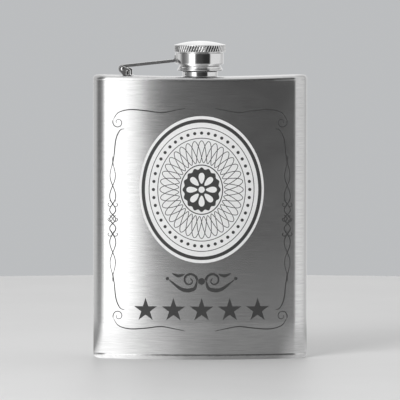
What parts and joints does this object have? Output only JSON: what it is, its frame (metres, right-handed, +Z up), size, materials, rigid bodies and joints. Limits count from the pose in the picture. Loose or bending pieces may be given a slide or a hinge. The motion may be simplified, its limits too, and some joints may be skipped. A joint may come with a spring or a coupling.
{
  "type": "hip flask",
  "caption": "Curved stainless-steel hip flask with a screw cap held captive by a hinged arm, for carrying drinks in a pocket.",
  "frame": {"origin": "on the flat underside, directly below the neck axis", "axes": "+Z up along the neck axis, -Y out of the convex front, +X to the right seen from the front"},
  "size_m": [0.094, 0.0291, 0.1394],
  "materials": {
    "brushed_body": "horizontal brushed grain",
    "polished_fittings": "polished",
    "gasket": "matt off-white silicone",
    "engraving_dark": "dark laser marking",
    "engraving_pale": "pale frosted marking"
  },
  "bodies": {
    "flask": {"body_wrap": "brushed_body", "shoulder_plate": "brushed_body", "base_plate": "brushed_body", "neck_spout": "polished_fittings", "hinge_bracket": "polished_fittings", "hinge_pin": "polished_fittings"},
    "arm": {"captive_arm": "polished_fittings", "swivel_collar": "polished_fittings"},
    "cap": {"cap_sleeve": "polished_fittings", "cap_shell": "polished_fittings", "cap_gasket": "gasket"}
  },
  "joints": [
    {"name": "arm_swing", "type": "hinge", "parent": "flask", "child": "arm", "pos_m": [-0.03361, 0.00514, 0.12704], "axis": [-0.1513, -0.9885, 0], "range_deg": [0, 165]},
    {"name": "cap_turn", "type": "hinge", "parent": "arm", "child": "cap", "pos_m": [0, 0, 0.13171], "axis": [0, 0, 1], "continuous": true}
  ]
}
